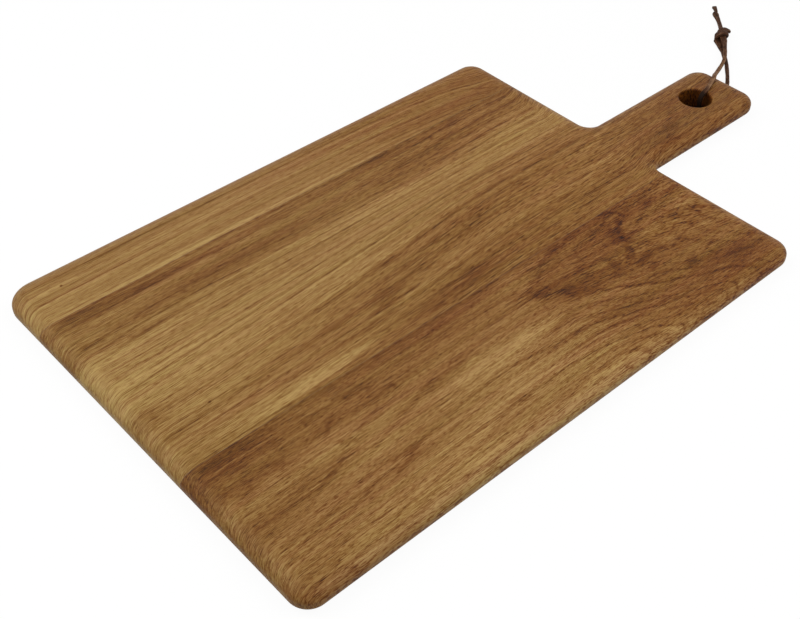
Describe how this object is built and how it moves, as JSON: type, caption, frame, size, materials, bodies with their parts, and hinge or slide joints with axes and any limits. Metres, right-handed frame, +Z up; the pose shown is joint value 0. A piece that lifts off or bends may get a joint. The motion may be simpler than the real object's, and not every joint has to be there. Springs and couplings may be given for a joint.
{
  "type": "serving board with handle",
  "caption": "Flat oak serving board of edge-glued staves with soft oval edges, a short handle with a hanging hole and a knotted leather thong looped through it.",
  "frame": {"origin": "middle of the wooden board's length and width, handle included, on its underside", "axes": "+X along the board towards the handle's end, +Y across it towards the narrow far stave, +Z up out of the serving face"},
  "size_m": [0.596, 0.28, 0.018],
  "materials": {
    "oak_far": "pale straight-grained oak, oiled, satin",
    "oak_middle": "oak, oiled, satin",
    "oak_near": "brown flat-sawn oak, oiled, satin",
    "glue": "thin dried glue line, matte",
    "leather": "dark brown waxed leather lace"
  },
  "bodies": {
    "board": {"stave_far": "oak_far", "glue_line_far": "glue", "stave_middle": "oak_middle", "glue_line_near": "glue", "stave_near": "oak_near", "thong_bight": "leather"},
    "thong_loop": {"thong_strand_over": "leather", "thong_strand_under": "leather", "thong_knot": "leather", "thong_tail_long": "leather", "thong_tail_short": "leather"}
  },
  "joints": [
    {"name": "thong_lift", "type": "hinge", "parent": "board", "child": "thong_loop", "pos_m": [0.27375, 0.019, 0.004], "axis": [0, -1, 0], "range_deg": [0, 120]}
  ]
}
